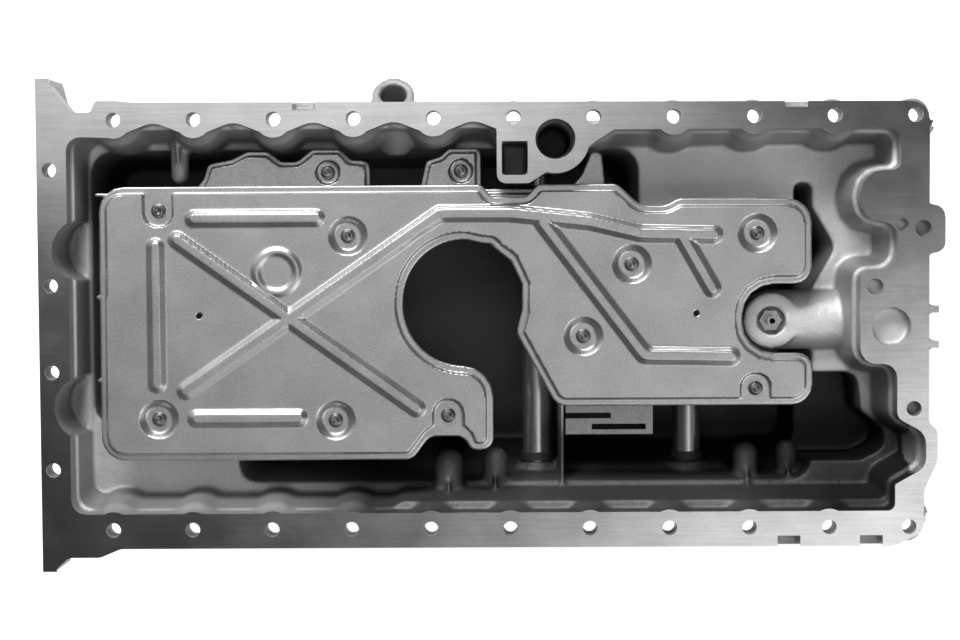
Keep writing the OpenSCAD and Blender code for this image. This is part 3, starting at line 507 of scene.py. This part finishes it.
# The lower baffle: a second, oilier sheet of the same kind along the back wall,
# under the first, on two posts of its own.
lower = plain_copy("lower_baffle", "lower_baffle_sheet")
rounded(lower, sheet_grain, 3)
thinned(lower, 90000)
lower.data.materials.append(stamped_metal("oily sheet", 0.34, 0.52, 0.24, 0.34))
shade(lower, 70)
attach(lower, "root")
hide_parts("lower_baffle")

# The sheet screws: plated steel with low domed heads and six-lobed sockets, turned
# into the cast posts through the seats of both baffles and of the tray.


shank_length = 0.014


def screw_tree(mat):
    """A node tree that sets one screw on every vertex, its head's underside at the vertex."""
    tree = bpy.data.node_groups.new("sheet screws", "GeometryNodeTree")
    socket = tree.interface.new_socket
    socket("Geometry", in_out="INPUT", socket_type="NodeSocketGeometry")
    for label, value in (("Head Radius", 0.0042), ("Head Height", 0.0032), ("Socket Radius", 0.0021),
                         ("Socket Depth", 0.0018), ("Shank Radius", 0.0023), ("Shank Length", shank_length)):
        socket(label, in_out="INPUT", socket_type="NodeSocketFloat").default_value = value
    socket("Geometry", in_out="OUTPUT", socket_type="NodeSocketGeometry")
    add, link = tree.nodes.new, tree.links.new
    given = add("NodeGroupInput")
    result = add("NodeGroupOutput")

    def sized(op, a, b):
        """Two inputs or numbers joined by a sum or a product."""
        node = add("ShaderNodeMath")
        node.operation = op
        for k, value in enumerate((a, b)):
            if isinstance(value, str):
                link(given.outputs[value], node.inputs[k])
            else:
                node.inputs[k].default_value = value
        return node.outputs[0]

    def lifted(geometry, height):
        """A geometry moved up by a height."""
        along = add("ShaderNodeCombineXYZ")
        link(height, along.inputs[2])
        move = add("GeometryNodeTransform")
        link(geometry, move.inputs["Geometry"])
        link(along.outputs[0], move.inputs["Translation"])
        return move.outputs[0]

    flange = add("GeometryNodeMeshCylinder")
    flange.inputs["Vertices"].default_value = 48
    link(given.outputs["Head Radius"], flange.inputs["Radius"])
    rim = sized("MULTIPLY", "Head Height", 0.4)
    link(rim, flange.inputs["Depth"])
    dome = add("GeometryNodeMeshCone")
    dome.inputs["Vertices"].default_value = 48
    link(sized("MULTIPLY", "Head Radius", 0.7), dome.inputs["Radius Top"])
    link(sized("MULTIPLY", "Head Radius", 0.97), dome.inputs["Radius Bottom"])
    link(sized("MULTIPLY", "Head Height", 0.6), dome.inputs["Depth"])
    star = add("GeometryNodeCurveStar")
    star.inputs["Points"].default_value = 6
    link(given.outputs["Socket Radius"], star.inputs["Outer Radius"])
    link(sized("MULTIPLY", "Socket Radius", 0.68), star.inputs["Inner Radius"])
    fillet = add("GeometryNodeFilletCurve")
    fillet.mode = "POLY"
    fillet.inputs["Count"].default_value = 3
    link(sized("MULTIPLY", "Socket Radius", 0.22), fillet.inputs["Radius"])
    link(star.outputs[0], fillet.inputs["Curve"])
    filled = add("GeometryNodeFillCurve")
    filled.mode = "NGONS"
    link(fillet.outputs[0], filled.inputs["Curve"])
    thick = add("GeometryNodeExtrudeMesh")
    thick.mode = "FACES"
    thick.inputs["Individual"].default_value = False
    link(filled.outputs[0], thick.inputs["Mesh"])
    link(sized("MULTIPLY", "Socket Depth", 2.0), thick.inputs["Offset Scale"])
    lid = add("GeometryNodeFlipFaces")
    link(filled.outputs[0], lid.inputs["Mesh"])
    closed = add("GeometryNodeJoinGeometry")
    link(thick.outputs[0], closed.inputs[0])
    link(lid.outputs[0], closed.inputs[0])
    tool = add("GeometryNodeMergeByDistance")
    tool.inputs["Distance"].default_value = 0.000005
    link(closed.outputs[0], tool.inputs["Geometry"])
    carve = add("GeometryNodeMeshBoolean")
    carve.operation = "DIFFERENCE"
    link(lifted(dome.outputs[0], rim), carve.inputs["Mesh 1"])
    socket_floor = sized("SUBTRACT", "Head Height", "Socket Depth")
    link(lifted(tool.outputs[0], socket_floor), carve.inputs["Mesh 2"])
    shank = add("GeometryNodeMeshCylinder")
    shank.inputs["Vertices"].default_value = 24
    link(given.outputs["Shank Radius"], shank.inputs["Radius"])
    link(given.outputs["Shank Length"], shank.inputs["Depth"])
    screw = add("GeometryNodeJoinGeometry")
    link(lifted(flange.outputs[0], sized("MULTIPLY", "Head Height", 0.2)), screw.inputs[0])
    link(carve.outputs[0], screw.inputs[0])
    link(lifted(shank.outputs[0], sized("MULTIPLY", "Shank Length", -0.5)), screw.inputs[0])
    turn = add("FunctionNodeRandomValue")
    turn.data_type = "FLOAT"
    turn.inputs["Max"].default_value = 6.283
    turn.inputs["Seed"].default_value = 7
    upright = add("ShaderNodeCombineXYZ")
    link(turn.outputs["Value"], upright.inputs[2])
    spread = add("GeometryNodeInstanceOnPoints")
    link(given.outputs["Geometry"], spread.inputs["Points"])
    link(screw.outputs[0], spread.inputs["Instance"])
    link(upright.outputs[0], spread.inputs["Rotation"])
    real = add("GeometryNodeRealizeInstances")
    link(spread.outputs[0], real.inputs[0])
    paint = add("GeometryNodeSetMaterial")
    paint.inputs["Material"].default_value = mat
    link(real.outputs[0], paint.inputs["Geometry"])
    link(paint.outputs[0], result.inputs[0])
    return tree


def seats(node):
    """The places of a CAD node's screws: the middle of each solid, at the underside of its head."""
    shell = joined(node)
    left, found = set(shell.verts), []
    while left:
        group, edge = set(), [left.pop()]
        while edge:
            v = edge.pop()
            group.add(v)
            near = [e.other_vert(v) for e in v.link_edges if e.other_vert(v) in left]
            left.difference_update(near)
            edge.extend(near)
        xs, ys, zs = ([v.co[k] for v in group] for k in range(3))
        found.append(((min(xs) + max(xs)) / 2, (min(ys) + max(ys)) / 2, min(zs) + shank_length))
    shell.free()
    return found


screw_steel = stamped_metal("plated steel", 0.14, 0.28, 0.18, 0.3)
screws_tree = screw_tree(screw_steel)
for node, name in (("baffle_screws", "upper_sheet_screws"), ("lower_screws", "lower_sheet_screws"),
                   ("tray_screws", "tray_sheet_screws")):
    mesh = bpy.data.meshes.new(name)
    mesh.from_pydata(seats(node), [], [])
    screws = bpy.data.objects.new(name, mesh)
    scene.collection.objects.link(screws)
    made = screws.modifiers.new("screws", "NODES")
    made.node_group = screws_tree
    settle(screws)
    soft_edge = screws.modifiers.new("edges", "BEVEL")
    soft_edge.width = 0.0002
    soft_edge.segments = 2
    soft_edge.limit_method = "ANGLE"
    soft_edge.angle_limit = math.radians(35)
    settle(screws)
    shade(screws, 40)
    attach(screws, "root")
    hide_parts(node)

# The pipes, seals, strainer, tray, nozzle and plugs keep the exact shape of their
# solids: drawn tube, moulded rubber and plastic, folded sheet and turned steel.
tube = stamped_metal("drawn tube", 0.42, 0.55, 0.16, 0.3)
dull_tray = stamped_metal("oily folded sheet", 0.25, 0.40, 0.3, 0.42)
turned = stamped_metal("turned steel", 0.36, 0.50, 0.2, 0.34)


def moulded(name, tone, rough):
    """Black rubber or plastic with a fine moulded grain."""
    mat, out, add, link = new_material(name)
    place = add("TexCoord")
    grain = add("TexNoise", Scale=1300.0, Detail=2.0)
    link(place.outputs["Object"], grain.inputs["Vector"])
    uneven = 0.08
    colour = add("RGB")
    colour.outputs[0].default_value = (tone, tone, tone, 1)
    shift = stretched(add, link, grain.outputs[0], (0, 1), (rough - uneven, rough + uneven))
    bump = bumpy(add, link, grain.outputs[0], 0.3, 0.0002)
    skinned(add, link, out, 0.0, colour.outputs[0], shift, bump)
    return mat


rubber = moulded("seal rubber", 0.025, 0.55)
plastic = moulded("hood plastic", 0.04, 0.42)
for name, finish in (("slotted_tray", dull_tray), ("suction_pipe", tube), ("strainer_pipe", tube),
                     ("strainer_hood", plastic), ("strainer_screen", turned), ("strainer_bolt", screw_steel),
                     ("suction_seals", rubber), ("strainer_seal", rubber), ("gallery_plug", turned),
                     ("oil_nozzle", turned), ("drain_plug", turned), ("drain_washer", turned)):
    nodes[name].data.materials.clear()
    nodes[name].data.materials.append(finish)
